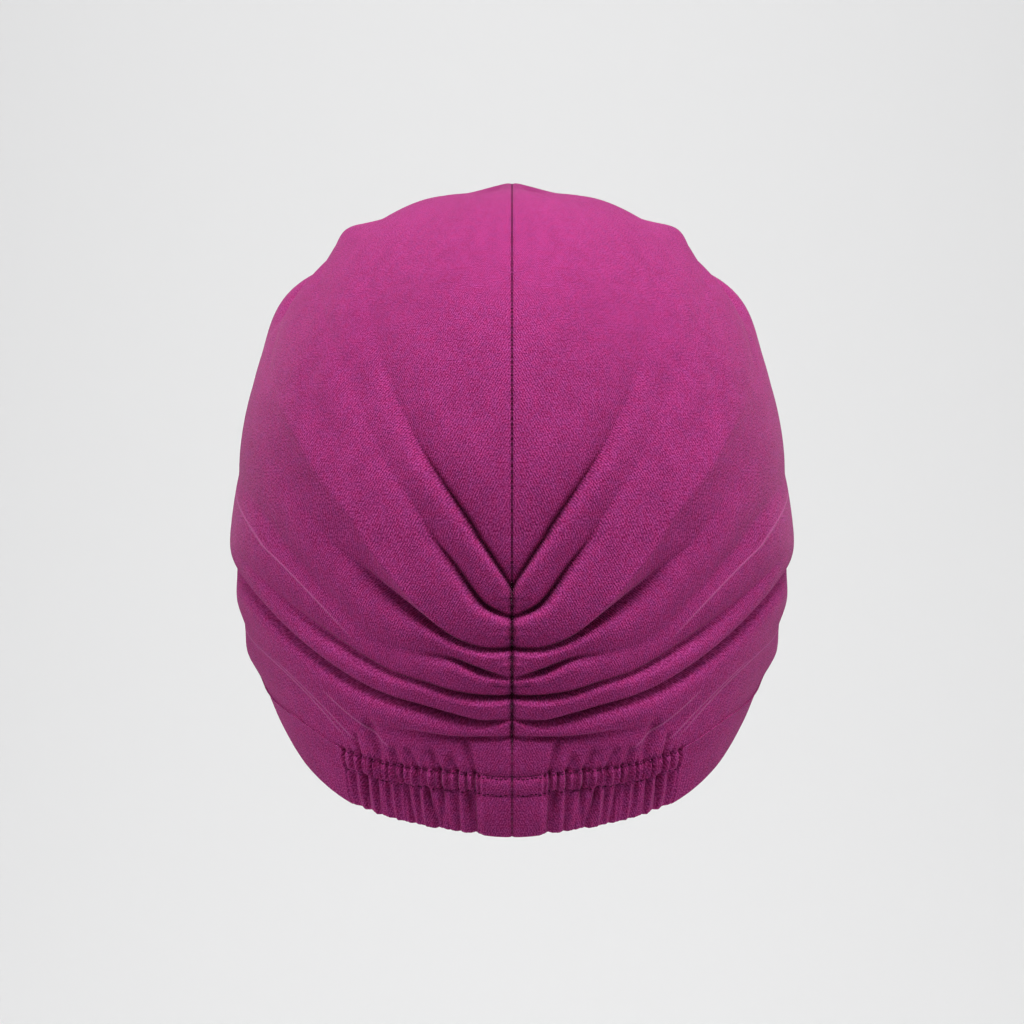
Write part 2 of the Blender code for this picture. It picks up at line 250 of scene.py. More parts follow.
# depth of each crease at the same azimuths; below zero it is a raised edge
FOLD_DEPTHS = (
    ("casing_shadow", (0.8, 1.8, 2.2, 2.0, 1.4, 0.8, 0.6, 0.5, 0.5, 0.8, 0.5, 1.2)),
    ("long_crease", (0.4, 3.0, 4.0, 3.8, 3.2, 3.6, 4.4, 5.0, 4.6, 1.2, 1.2, 2.0)),
    ("third_crease", (2.2, 3.4, 3.2, 2.6, 2.8, 3.4, 3.6, 2.4, 0.6, 0.1, 0.8, 2.2)),
    ("side_crease", (0.4, 3.4, 2.6, 2.0, 2.2, 2.2, 2.4, 2.2, 1.2, 0.9, 1.2, 2.4)),
    ("short_crease", (2.4, 2.8, 3.4, 4.8, 5.0, 3.4, 1.8, 0.6, 0.1, 0.2, 0.8, 2.4)),
    ("facet_edge", (0.0, 0.0, 0.0, -1.4, -2.0, -1.8, -1.5, -1.0, 0.1, 1.6, 1.6, 2.4)),
    ("second_crease", (1.8, 4.0, 3.6, 1.8, 1.6, 1.5, 1.1, 0.7, 0.4, 1.0, 0.8, 2.4)),
    ("crown_crease", (2.2, 3.6, 3.8, 3.6, 3.0, 2.2, 1.3, 0.5, 0.4, 0.9, 1.4, 2.4)),
)

# how far each crease reaches up the cloth
UPPER_REACHES = (
    ("casing_shadow", (1.0, 1.0, 1.0, 1.2, 1.5, 2.0, 3.0, 3.0, 3.0, 3.0, 3.0, 3.0)),
    ("long_crease", (1.8, 2.4, 3.0, 3.2, 3.0, 2.2, 1.4, 1.1, 1.2, 4.0, 3.0, 3.0)),
    ("third_crease", (2.6, 3.6, 4.2, 4.2, 4.0, 3.6, 3.4, 3.6, 3.0, 3.0, 3.0, 3.0)),
    ("side_crease", (2.0, 2.6, 3.0, 3.0, 3.5, 4.5, 5.0, 5.0, 5.0, 6.0, 4.0, 3.2)),
    ("short_crease", (4.5, 4.0, 3.0, 2.8, 4.6, 6.5, 7.5, 6.5, 4.0, 3.0, 3.0, 3.0)),
    ("facet_edge", (4.0, 4.0, 4.0, 4.0, 4.0, 5.0, 6.0, 7.0, 5.0, 5.0, 6.0, 6.0)),
    ("second_crease", (3.0, 4.2, 4.6, 5.0, 7.0, 7.0, 7.0, 7.0, 4.0, 4.0, 4.0, 4.0)),
    ("crown_crease", (3.0, 4.0, 5.0, 7.0, 9.0, 10.0, 10.0, 9.0, 7.0, 7.0, 7.0, 7.0)),
)

# how far each crease reaches down the cloth
LOWER_REACHES = (
    ("casing_shadow", (6.0, 6.0, 6.0, 6.0, 5.0, 5.0, 4.0, 4.0, 3.0, 3.0, 3.0, 3.0)),
    ("long_crease", (1.2, 1.6, 1.8, 1.6, 1.3, 1.0, 1.0, 1.1, 1.5, 4.0, 1.8, 1.8)),
    ("third_crease", (0.8, 0.8, 0.9, 1.0, 1.0, 1.2, 1.6, 2.2, 2.0, 2.0, 2.0, 2.0)),
    ("side_crease", (0.8, 0.8, 1.0, 3.0, 4.5, 4.2, 4.5, 4.5, 4.0, 4.0, 2.4, 1.8)),
    ("short_crease", (0.8, 0.8, 0.8, 1.1, 2.0, 3.4, 4.0, 3.6, 2.0, 2.0, 1.6, 1.5)),
    ("facet_edge", (2.0, 2.0, 2.0, 1.8, 3.0, 3.6, 3.6, 3.6, 3.0, 5.0, 4.0, 4.0)),
    ("second_crease", (0.8, 0.8, 1.0, 2.5, 4.0, 4.0, 4.0, 3.0, 2.0, 2.0, 2.0, 2.0)),
    ("crown_crease", (0.8, 0.8, 0.9, 1.3, 3.0, 5.0, 5.0, 5.0, 4.0, 4.0, 2.0, 2.0)),
)

# how far round from the nape seam each crease keeps a narrow slot at its bottom, in degrees
SLOT_SPREADS = (
    ("casing_shadow", 20),
    ("long_crease", 75),
    ("third_crease", 35),
    ("side_crease", 15),
    ("short_crease", 26),
    ("facet_edge", 20),
    ("second_crease", 14),
    ("crown_crease", 13),
)

# broad swellings: azimuth, its spread, run, its spread, height
SWELLINGS = (
    ("crown_slope", 90, 120, 145, 9, -1.4),
    ("crown_ridge", 96, 22, 101.5, 8.0, 3.9),
    ("side_lobe", 107, 23, 67.5, 18, 6.2),
    ("side_hollow", 88, 5, 75, 13, -4.0),
    ("ear_lobe", 90, 26, 0, 8, 1.2),
    ("lower_lobe", 84, 22, -18, 6, 0.8),
    ("hanging_lobe", 88, 14, -35, 7, 3.2),
    ("nape_rolls", 10, 24, -34, 24, 1.6),
)

# azimuth and depth of the gathers in one half of the casing, and how far each leans, in degrees
GATHERS = (
    (8.9, 3.2, 1.6),
    (12.0, 1.4, 1.6),
    (14.6, 1.8, 2.0),
    (17.6, 3.0, 3.2),
    (20.3, 1.5, 2.4),
    (22.7, 3.0, 1.6),
    (25.0, 1.6, 0.8),
    (27.4, 2.7, 0.6),
    (30.3, 2.6, 0.5),
    (33.3, 2.8, 0.4),
    (36.2, 2.5, 0.2),
)

# a gather's reach; its share at the lower edge and what is lost of that at the top; its shares on
# the far and near sides; the power of its fall; the share of the height about which it leans
GATHER_REACH = 1.5
GATHER_BROAD = 1.2
GATHER_NARROWING = 0.5
FAR_SIDE = 0.75
NEAR_SIDE = 1.25
GATHER_POWER = 1.5
LEAN_MIDDLE = 0.35

# the change at the lower stitch row and at the casing's top, in shares of its height, and how much
# of the grooves and of the ruching there is below that row and between the rows
ROW_STEP = 0.03
CASING_TOP = 1.03
CASING_TOP_STEP = 0.05
GROOVES_BETWEEN = 0.2
RUCHING_BELOW = 0.4
RUCHING_BETWEEN = 1.7

# lines pressed into the cloth: azimuth and run of its first, middle and last point, height, reach
PRESSED_LINES = (
    ("casing_drag", 31, -52.0, 29.2, -59.5, 27.6, -67.0, -1.5, 1.9),
    ("nape_pucker", 9.4, -60.0, 8.4, -67.5, 7.2, -75.0, -1.5, 1.5),
    ("second_pucker", 13.0, -64.5, 11.9, -69.5, 11.0, -74.5, -1.3, 1.3),
    ("third_pucker", 17.6, -62.5, 15.8, -68.0, 14.8, -73.5, -1.4, 1.5),
    ("fourth_pucker", 22.3, -62.0, 20.8, -67.0, 20.4, -72.0, -1.3, 1.4),
    ("fifth_pucker", 25.4, -61.5, 24.4, -66.5, 23.6, -71.5, -1.2, 1.3),
    ("sixth_pucker", 34.0, -57.0, 33.6, -62.0, 33.3, -67.5, -1.1, 1.1),
    ("tiny_crease", 4.4, -43.8, 2.5, -44.6, -2.0, -45.4, -0.7, 0.45),
    ("crown_dent", 21, 71.0, 14, 48.0, 7, 22.0, -0.9, 6.0),
    ("side_dent", 53, 50.0, 42, 32.0, 34, 17.0, -0.6, 5.0),
    ("upper_dent", 40, 52.0, 35, 44.0, 29, 34.0, -0.5, 4.0),
    ("temple_dent", 66, 66.0, 54, 60.0, 44, 44.0, -0.4, 6.0),
    ("fold_crest", 23, 25.0, 15, 8.0, 6, -9.0, 0.5, 3.0),
)

# how full a pressed line is between its ends: its parabola times this, held at 1
LINE_FULLNESS = 1.6

# sharply pressed crests, worked out in the material as a bump and as a painted highlight, a lighter
# colour along each: three points as above and reach
PRESSED_CRESTS = (
    ("side_crest", 92.5, 15.5, 48.0, -10.5, 31.8, -31.8, 0.30),
    ("lower_crest", 86.2, -26.0, 48.2, -45.2, 34.2, -62.2, 0.28),
    ("doubled_crest", 59.0, -35.2, 46.5, -45.5, 32.5, -62.2, 0.24),
    ("inner_crest", 42.0, -44.0, 31.2, -56.0, 24.8, -63.2, 0.28),
)

# the same for a crest, whose parabola is a quarter high
CREST_FULLNESS = 7.0

# the jersey's noises: scale a metre, detail, roughness; the dye's lies in space, the others on the
# flat cloth
FIBRE_NOISE = (2100.0, 1.0, 0.6)
HUE_NOISE = (420.0, 3.0, 0.7)
SLUB_NOISE = (150.0, 4.0, 0.6)
DYE_NOISE = (24.0, 3.0, 0.5)

# the knitted wales: their slant in degrees, scale, distortion, detail, its scale, and their share
# beside the fibre
WALE_SLANT = -33.0
WALE_WAVE = (400.0, 1.5, 2.0, 0.5)
WALE_SHARE = 0.6

# ranges of the noises spread out as mixing amounts: low, high, low becomes, high becomes; and the
# share of the red and violet dye
SPECKLE = (0.41, 0.59, 0.0, 1.0)
HUE_TURN = (0.36, 0.64, 0.0, 1.0)
HUE_SHARE = 0.3

# shades multiplied over the dye: share, then range and what becomes of it
KNIT_SHADE = (0.6, 0.44, 1.16, 0.6, 1.4)
SLUB_SHADE = (0.35, 0.3, 0.7, 0.72, 1.24)
DYE_SHADE = (0.3, 0.3, 0.7, 0.78, 1.18)

# the painted highlight of a pressed crest, a lighter colour for the sheen along it with some wear, and
# its share, and the bump's strength and depth in metres
CREST_HIGHLIGHT_COLOUR = (0.60, 0.17, 0.40)
CREST_HIGHLIGHT_SHARE = 0.4
BUMP_STRENGTH = 0.6
BUMP_DEPTH = 0.00025

# how the fibres take the light
JERSEY_FINISH = (
    ("Roughness", 0.92),
    ("Specular IOR Level", 0.08),
    ("Sheen Weight", 0.13),
    ("Sheen Roughness", 0.3),
    ("Sheen Tint", (1.0, 0.80, 0.94, 1)),
)

# colours and roughness of the thread, whose dark colour also paints the shade in the crown seam's
# groove, and of the backdrop's paper
THREAD_AND_SEAM_SHADE_COLOUR = (0.07, 0.008, 0.035)
THREAD_ROUGHNESS = 0.95
THREAD_GLOSS = 0.05
PAPER_COLOUR = (0.82, 0.82, 0.82)
PAPER_ROUGHNESS = 0.95

# the studio in metres: the sweep's front edge, where it starts to curve, its height there, the
# curve's radius, the wall's top, half the width, and the points of its curve
SWEEP_FRONT = 2.5
SWEEP_BEND = -1.0
SWEEP_FLOOR = -0.75
SWEEP_RADIUS = 1.6
SWEEP_TOP = 3.2
SWEEP_HALF_WIDTH = 4.0
SWEEP_POINTS = 33

# lamps: place, the point it faces, width and height, power in watts; and the air's even light
LAMPS = (
    ("top_box", (-0.1, 0.49, 1.4), (0, 0, 0.05), (0.9, 0.7), 27.0),
    ("left_edge", (1.3, 0.25, 0.6), (0, 0, 0.05), (0.7, 0.9), 11.0),
    ("right_edge", (-1.3, 0.25, 0.6), (0, 0, 0.05), (0.7, 0.9), 10.0),
    ("back_fill", (0.0, 2.2, -0.1), (0, 0, 0.05), (1.8, 1.0), 1.5),
    ("wall_light", (0.0, -0.7, 1.4), (0, -2.6, -0.1), (1.0, 0.6), 22.0),
)
AIR_COLOUR = (0.95, 0.96, 1.0)
AIR_STRENGTH = 0.11

# the camera: focal length and sensor in millimetres, distance and height of its aim in metres, and
# degrees above level
FOCAL_LENGTH = 120.0
SENSOR_WIDTH = 36.0
CAMERA_DISTANCE = 1.11
CAMERA_AIM = 0.05
CAMERA_ELEVATION = 3.0

# how finely the pieces are drawn; the inner faces have one row for this many outer ones
PANEL_COLUMNS = 320
PANEL_ROWS_PER_FOLD = (20, 18, 22, 18, 24, 22, 26, 26, 68)
INNER_RATIO = 4
BAND_ROWS = 48
CASING_COLUMNS = 460
HEM_COLUMNS = 420

# how far the panel's rows are drawn together beside the creases, from 0 to 1
ROW_EASING = 0.45

# closeness of the panel's columns: everywhere, what the back adds up to an azimuth with a step
# there, and what both seams add with their reaches in degrees
PLAIN_CLOSENESS = 0.7
BACK_CLOSENESS = 3.2
BACK_END = 52.0
BACK_STEP = 3.0
BACK_SEAM_CLOSENESS = 4.0
BACK_SEAM_REACH = 1.5
FRONT_SEAM_CLOSENESS = 5.0
FRONT_SEAM_REACH = 3.0

# in metres, points that coincide; in degrees, the angle past which an edge is sharp
WELD_DISTANCE = 1e-7
SHARP_ANGLE = 65.0


def smooth_table(x, stations, values, level_ends=False):
    """Cubic through a table: at each station it has the slope of the parabola through three
    neighbours; at both ends that of the last step, or none."""
    xs = np.asarray(stations, float)
    ys = np.asarray(values, float)
    step = np.diff(xs)
    rise = np.diff(ys) / step
    slope = np.zeros_like(ys)
    slope[1:-1] = (rise[:-1] * step[1:] + rise[1:] * step[:-1]) / (step[1:] + step[:-1])
    if not level_ends:
        slope[0], slope[-1] = rise[0], rise[-1]
    i = np.clip(np.searchsorted(xs, x, side="right") - 1, 0, len(xs) - 2)
    t = np.clip((x - xs[i]) / step[i], 0.0, 1.0)
    start = (2 * t**3 - 3 * t**2 + 1) * ys[i] + (t**3 - 2 * t**2 + t) * step[i] * slope[i]
    end = (3 * t**2 - 2 * t**3) * ys[i + 1] + (t**3 - t**2) * step[i] * slope[i + 1]
    return start + end


def girth(azimuth, column):
    """A column of the GIRTH table at any azimuth."""
    table = np.array(GIRTH, float)
    return smooth_table(azimuth, table[:, 0], table[:, column], level_ends=True)


def hem_run(azimuth):
    """Run of the hem's lower edge, a negative length."""
    return girth(azimuth, 1) - girth(azimuth, 2)


def band_run(azimuth):
    """Run of the line where the hem band meets the draped cloth."""
    return hem_run(azimuth) + girth(azimuth, 3)


def crease_run(index, azimuth):
    """Run of one crease of FOLD_PATHS at any azimuth."""
    return smooth_table(azimuth, FOLD_AZIMUTHS, FOLD_PATHS[index][1])


def base_form(azimuth, run):
    """Smooth form and its outward normal.

    Above the widest line it is a superellipse from that line to the apex; below, the girth
    draws in to the hem with the square of the share of the drop.
    """
    a = np.radians(azimuth)
    across, along = np.sin(a), np.cos(a)
    wide = girth(azimuth, 2)
    hem = girth(azimuth, 1)
    angle = np.clip(run / CROWN_RUN, 0, 1) * np.pi / 2
    ring = np.cos(angle) ** (2 / CROWN_POWER)
    rise = np.sin(angle) ** (2 / CROWN_POWER)
    drop = np.maximum(-run / (wide - hem), 0)
    upper = run >= 0
    width = np.where(upper, HALF_WIDTH * ring, HALF_WIDTH + (HEM_HALF_WIDTH - HALF_WIDTH) * drop**2)
    length = np.where(
        upper, HALF_LENGTH * ring, HALF_LENGTH + (HEM_HALF_LENGTH - HALF_LENGTH) * drop**2
    )
    shift = np.where(upper, 0, HEM_SHIFT * drop**2)
    z = np.where(upper, wide + (APEX_HEIGHT - wide) * rise, wide - (wide - hem) * drop)
    point = np.stack([width * across, shift + length * along, z], -1)
    tilt_up = rise ** (CROWN_POWER - 1) / (APEX_HEIGHT - wide)
    tilt_down = 2 * drop * (HEM_HALF_WIDTH - HALF_WIDTH) / (wide - hem) / HALF_WIDTH
    flat = np.where(upper, ring ** (CROWN_POWER - 1), 1.0)
    normal = np.stack(
        [flat * across / HALF_WIDTH, flat * along / HALF_LENGTH, np.where(upper, tilt_up, tilt_down)],
        -1,
    )
    return point, normal / np.linalg.norm(normal, axis=-1, keepdims=True)


def seam_radius(run):
    """Half width of the smooth form at a run above the widest line, and below it that line's."""
    angle = np.clip(run / CROWN_RUN, 0, 1) * np.pi / 2
    return HALF_WIDTH * np.cos(angle) ** (2 / CROWN_POWER)


def fading(distance, reach):
    """1 at no distance, falling as exp(-(distance / reach)^2)."""
    return np.exp(-((distance / reach) ** 2))


def step_up(value, middle, width):
    """0 well below the middle and 1 well above it: 1 / (1 + exp((middle - value) / width))."""
    return 1 / (1 + np.exp((middle - value) / width))


def step_down(value, middle, width):
    """1 well below the middle and 0 well above it, the same step turned round."""
    return step_up(middle, value, width)


def wandering_wave(place, wave):
    """Sine of closeness times place plus, for each wander, amount times the sine of its own
    closeness times place."""
    closeness, *wanders = wave
    phase = place * closeness
    for amount, slow in wanders:
        phase = phase + amount * np.sin(place * slow)
    return np.sin(phase)


def ruched_share(azimuth, run):
    """1 where the seam is ruched and 0 elsewhere, with smooth steps between."""
    back = azimuth < 90
    low = np.where(back, RUCHED_BACK[0], RUCHED_FRONT[0])
    high = np.where(back, RUCHED_BACK[1], RUCHED_FRONT[1])
    return step_up(run, low, RUCHED_STEP) * step_down(run, high, RUCHED_STEP)


def relief(azimuth, run):
    """Height of the cloth over the smooth form.

    Each crease is depth times exp(-distance / reach), with one reach above it and another below,
    where distance is measured square to the crease and its bottom is rounded over a share of the
    shorter reach; near the nape seam it closes to a narrow slot. Broad swellings are Gaussian. The
    seam draws the cloth in as exp(-distance / width), most where it is ruched. All this dies out
    at the apex, where the seam's edges lift a low Gaussian ridge; its narrow groove runs on over
    the top.
    """
    height = np.zeros_like(run)
    radius = seam_radius(run)
    for index in range(len(FOLD_PATHS)):
        path = crease_run(index, azimuth)
        ahead = crease_run(index, azimuth + SLOPE_STEP)
        slope = (ahead - path) / np.radians(SLOPE_STEP) / np.maximum(radius, LEAST_RADIUS)
        away = (run - path) / np.sqrt(1 + slope**2)
        depth = smooth_table(azimuth, FOLD_AZIMUTHS, FOLD_DEPTHS[index][1])
        upper = smooth_table(azimuth, FOLD_AZIMUTHS, UPPER_REACHES[index][1])
        lower = smooth_table(azimuth, FOLD_AZIMUTHS, LOWER_REACHES[index][1])
        soft = BOTTOM_SHARE * np.minimum(upper, lower)
        rounded = np.sqrt(away**2 + soft**2) - soft
        height -= depth * np.exp(-rounded / np.where(away > 0, upper, lower))
        slot = fading(away, SLOT_REACH) * fading(azimuth, SLOT_SPREADS[index][1])
        height -= SLOT_SHARE * depth * slot
    for _, centre, spread, middle, reach, bulge in SWELLINGS:
        height += bulge * fading(azimuth - centre, spread) * fading(run - middle, reach)
    from_seam = radius * np.sin(np.radians(azimuth))
    ruched = ruched_share(azimuth, run)
    height -= SEAM_PULL * np.exp(-from_seam / SEAM_WIDTH)
    height -= RUCHED_PULL * ruched * np.exp(-from_seam / RUCHED_WIDTH)
    height += fine_relief(azimuth, run, from_seam, ruched)
    calm = 1 - fading(CROWN_RUN - run, APEX_CALM)
    ridge = RIDGE_HEIGHT * fading(from_seam, RIDGE_WIDTH) * fading(CROWN_RUN - run, RIDGE_LENGTH)
    groove = SEAM_GROOVE * np.exp(-from_seam / GROOVE_REACH)
    return height * calm + ridge - groove


def parabola(line):
    """First point, direction, square direction, length and sag of a pressed line on the flat cloth,
    in millimetres. The line is a parabola through its three points."""
    ends = np.array(line[1:7], float).reshape(3, 2) * (np.radians(WIDEST_RADIUS), 1.0)
    first, middle, last = ends
    length = np.linalg.norm(last - first)
    ahead = (last - first) / length
    square = np.array([-ahead[1], ahead[0]])
    share = (middle - first) @ ahead / length
    sag = (middle - first) @ square / (4 * share * (1 - share))
    return first, ahead, square, length, sag


def along_line(azimuth, run, line):
    """Distance from a pressed line in millimetres of cloth, and a weight that is 1 over the middle
    of the line and falls to 0 at its ends as a parabola."""
    first, ahead, square, length, sag = parabola(line)
    across = np.radians(azimuth) * WIDEST_RADIUS - first[0]
    up = run - first[1]
    t = (across * ahead[0] + up * ahead[1]) / length
    inside = np.clip(t, 0, 1)
    away = across * square[0] + up * square[1] - sag * 4 * inside * (1 - inside)
    return away, np.clip(LINE_FULLNESS * 4 * inside * (1 - inside), 0, 1)


def fine_relief(azimuth, run, from_seam, ruched):
    """Small forms of the cloth, all within about a millimetre.

    Along the seam's ruched part short puckers stand square to it and narrow tucks lie in it, both
    dying out sideways as exp(-distance / reach). Pressed lines and dents are Gaussian across. At
    the back faint pulls fan up from the point of the crown crease, a product of two sines of the
    angle there. Long shallow waves, a product of two sines, cross the crown.
    """
    pucker = wandering_wave(run, PUCKER_WAVE) * np.exp(-from_seam / PUCKER_REACH)
    width = TUCK_WIDTH + TUCK_CHANGE * wandering_wave(run, TUCK_WAVE)
    height = ruched * (PUCKER_HEIGHT * pucker - TUCK_DEPTH * np.exp(-from_seam / width))
    for *line, rise, reach in PRESSED_LINES:
        away, weight = along_line(azimuth, run, line)
        height += rise * weight * fading(away, reach)
    fan = np.arctan2(from_seam, run - FAN_POINT)
    pull = FAN_HEIGHT * fading(run - FAN_MIDDLE, FAN_LENGTH) * fading(from_seam, FAN_WIDTH)
    for closeness, start in FAN_SINES:
        pull = pull * np.sin(fan * closeness + start)
    wave = WAVE_HEIGHT * (1 - fading(CROWN_RUN - run, WAVE_CALM)) * np.clip(from_seam / WAVE_RISE, 0, 1)
    for sideways, upwards, start in WAVE_SINES:
        wave = wave * np.sin(azimuth * sideways + run * upwards + start)
    return height + np.where(azimuth < 90, pull, 0) + wave


def closed_grid(outer, inner):
    """Points, quads and triangles of a wall: an outer and an inner grid with a rim round all four
    edges. The inner grid has the outer one's columns and fewer rows, so each step of the side rims
    is a fan of triangles, one for every outer row and one more."""
    rows, columns = outer.shape[:2]
    thin_rows = inner.shape[0]
    ratio = (rows - 1) // (thin_rows - 1)
    points = np.concatenate([outer.reshape(-1, 3), inner.reshape(-1, 3)])
    out = np.arange(rows * columns).reshape(rows, columns)
    ins = rows * columns + np.arange(thin_rows * columns).reshape(thin_rows, columns)

    def skin(ids, outward):
        a, b, c, d = ids[:-1, :-1], ids[:-1, 1:], ids[1:, 1:], ids[1:, :-1]
        quad = (a, d, c, b) if outward else (a, b, c, d)
        return np.stack([q.ravel() for q in quad], 1)

    quads = [skin(out, True), skin(ins, False)]
    quads.append(np.stack([out[0, :-1], out[0, 1:], ins[0, 1:], ins[0, :-1]], 1))
    quads.append(np.stack([out[-1, 1:], out[-1, :-1], ins[-1, :-1], ins[-1, 1:]], 1))
    fans = []
    for column, turned in ((0, True), (columns - 1, False)):
        edge, back = out[:, column], ins[:, column]
        side = [
            np.stack([edge[k : rows - 1 : ratio], edge[k + 1 :: ratio], back[1:]], 1)
            for k in range(ratio)
        ]
        side.append(np.stack([edge[0 : rows - 1 : ratio], back[1:], back[:-1]], 1))
        fans += [block[:, ::-1] if turned else block for block in side]
    return points, np.concatenate(quads), np.concatenate(fans)


def cloth_mesh(name, outer, inner, outer_map, inner_map, mirrored):
    """A wall of cloth as one object: quads and rim triangles, with the cloth's own flat place in
    metres (across the cloth, up the cloth) as its UV map. Half the seam gap sets it off the
    middle, and the right half is the left one mirrored."""
    points, quads, fans = closed_grid(outer, inner)
    flat = np.concatenate([outer_map.reshape(-1, 2), inner_map.reshape(-1, 2)])
    points[:, 0] += SEAM_GAP / 2
    if mirrored:
        points[:, 0] *= -1
        quads, fans = quads[:, ::-1], fans[:, ::-1]
    mesh = bpy.data.meshes.new(name)
    corners = np.concatenate([quads.ravel(), fans.ravel()]).astype(np.int32)
    sizes = np.concatenate([np.full(len(quads), 4), np.full(len(fans), 3)])
    starts = np.concatenate([[0], np.cumsum(sizes)[:-1]]).astype(np.int32)
    mesh.vertices.add(len(points))
    mesh.vertices.foreach_set("co", (points * MM).astype(np.float32).ravel())
    mesh.loops.add(len(corners))
    mesh.loops.foreach_set("vertex_index", corners)
    mesh.polygons.add(len(sizes))
    mesh.polygons.foreach_set("loop_start", starts)
    layer = mesh.uv_layers.new(name="cloth")
    layer.data.foreach_set("uv", (flat[corners] * MM).astype(np.float32).ravel())
    mesh.update(calc_edges=True)
    mesh.validate()
    weld_repeats(mesh)
    mesh.shade_smooth()
    mesh.set_sharp_from_angle(angle=np.radians(SHARP_ANGLE))
    thing = bpy.data.objects.new(name, mesh)
    bpy.context.scene.collection.objects.link(thing)
    return thing


def weld_repeats(mesh):
    """Merges points that coincide, as all columns do at the apex, and turns the faces outwards."""
    cloth = bmesh.new()
    cloth.from_mesh(mesh)
    bmesh.ops.remove_doubles(cloth, verts=cloth.verts, dist=WELD_DISTANCE)
    bmesh.ops.recalc_face_normals(cloth, faces=cloth.faces)
    cloth.to_mesh(mesh)
    cloth.free()


def panel_stations():
    """Row stations: 0 is the band line, 1 to 8 the creases and 9 the apex, drawn together beside
    each crease by a cosine."""
    rows = [0.0]
    for index, count in enumerate(PANEL_ROWS_PER_FOLD):
        share = np.arange(1, count + 1) / count
        eased = 0.5 - 0.5 * np.cos(np.pi * share)
        rows += list(index + (1 - ROW_EASING) * share + ROW_EASING * eased)
    return np.array(rows)


def panel_columns():
    """Azimuths of the columns: even shares of the area under a curve of closeness, which is high
    over the back, where the folds are small, and highest beside both seams."""
    fine = np.linspace(0, 180, 3601)
    close = PLAIN_CLOSENESS + BACK_CLOSENESS * step_down(fine, BACK_END, BACK_STEP)
    close += BACK_SEAM_CLOSENESS * np.exp(-fine / BACK_SEAM_REACH)
    close += FRONT_SEAM_CLOSENESS * np.exp(-(180 - fine) / FRONT_SEAM_REACH)
    area = np.concatenate([[0], np.cumsum(close[1:] + close[:-1])])
    return np.interp(np.linspace(0, area[-1], PANEL_COLUMNS + 1), area, fine)


def row_run(station, azimuth):
    """Run at a row station: a straight mix of the two lines beside it, so rows follow the folds."""
    lines = [band_run(azimuth)]
    lines += [crease_run(index, azimuth) for index in range(len(FOLD_PATHS))]
    lines += [np.full_like(azimuth, CROWN_RUN)]
    lines = np.stack(lines)
    i = np.clip(station.astype(int), 0, len(lines) - 2)
    t = station - i
    low = np.take_along_axis(lines, i[None], 0)[0]
    high = np.take_along_axis(lines, i[None] + 1, 0)[0]
    return low + (high - low) * t


def flat_place(azimuth, run):
    """Where a point lies on the flat cloth in millimetres: arc length round the form, and run."""
    return np.stack([np.radians(azimuth) * WIDEST_RADIUS, run], -1)


def seam_allowance(azimuth, run):
    """Depth of the turned-in edges inside the seam: Gaussian across it, and none at the apex."""
    from_seam = seam_radius(run) * np.sin(np.radians(azimuth))
    calm = 1 - fading(CROWN_RUN - run, ALLOWANCE_CALM)
    return ALLOWANCE_DEPTH * calm * fading(from_seam, ALLOWANCE_REACH)


def draped_panel(name, mirrored):
    """One draped half: a fine outer face, the form plus its relief, and a coarser inner face one
    wall below it. Over the casing its lower edge is tucked in and ruched, both dying out upwards
    as exp(-distance / reach)."""
    azimuth, station = np.meshgrid(panel_columns(), panel_stations())
    run = row_run(station, azimuth)
    point, normal = base_form(azimuth, run)
    height = relief(azimuth, run)
    gathered = step_down(azimuth, CASING_END, CASING_STEP)
    above = run - band_run(azimuth)
    tuck = TUCKED_DEPTH * gathered * np.exp(-above / TUCKED_REACH)
    tuck -= gathered * casing_ruching(azimuth) * np.exp(-above / TUCKED_RUCHING)
    outer = point + normal * (height - tuck)[..., None]
    depth = CLOTH_WALL + seam_allowance(azimuth, run)
    inner = point + normal * (PANEL_INSIDE * height - depth)[..., None]
    thin = slice(None, None, INNER_RATIO)
    place = flat_place(azimuth, run)
    return cloth_mesh(name, outer, inner[thin], place, place[thin], mirrored)


def casing_ruching(azimuth):
    """Fine ruching of the casing: two sines whose pitches wander, and none beside the seam."""
    arc = np.radians(azimuth) * CASING_RADIUS
    rises = [height * wandering_wave(arc, wave) for height, wave in RUCHING]
    return step_up(azimuth, RUCHING_START, RUCHING_STEP) * sum(rises)


def stitch_row_low(azimuth):
    """Share of the casing's height at its lower stitch row, which dips towards the casing's end."""
    return STITCH_ROW_LOW - STITCH_ROW_DIP * azimuth / CASING_END


def gathering(azimuth, share):
    """Height of the casing's gathers: at each azimuth of GATHERS a groove, depth times
    exp(-|distance / reach|^power), which leans, narrows upwards and is steeper on its far side. It
    is deep below the lower stitch row, and the fine ruching is high between the rows."""
    grooves = np.zeros_like(azimuth)
    for centre, depth, lean in GATHERS:
        away = np.radians(azimuth - centre - lean * (share - LEAN_MIDDLE)) * CASING_RADIUS
        reach = GATHER_REACH * (GATHER_BROAD - GATHER_NARROWING * share)
        reach = reach * np.where(away > 0, FAR_SIDE, NEAR_SIDE)
        grooves -= depth * np.exp(-(np.abs(away / reach) ** GATHER_POWER))
    row = stitch_row_low(azimuth)
    below = step_down(share, row, ROW_STEP)
    between = (1 - below) * np.clip((CASING_TOP - share) / CASING_TOP_STEP, 0, 1)
    soft = 0.5 + 0.5 * np.clip(share / row, 0, 1)
    grooves = grooves * soft * (below + GROOVES_BETWEEN * between)
    return grooves + casing_ruching(azimuth) * (RUCHING_BELOW * below + RUCHING_BETWEEN * between)


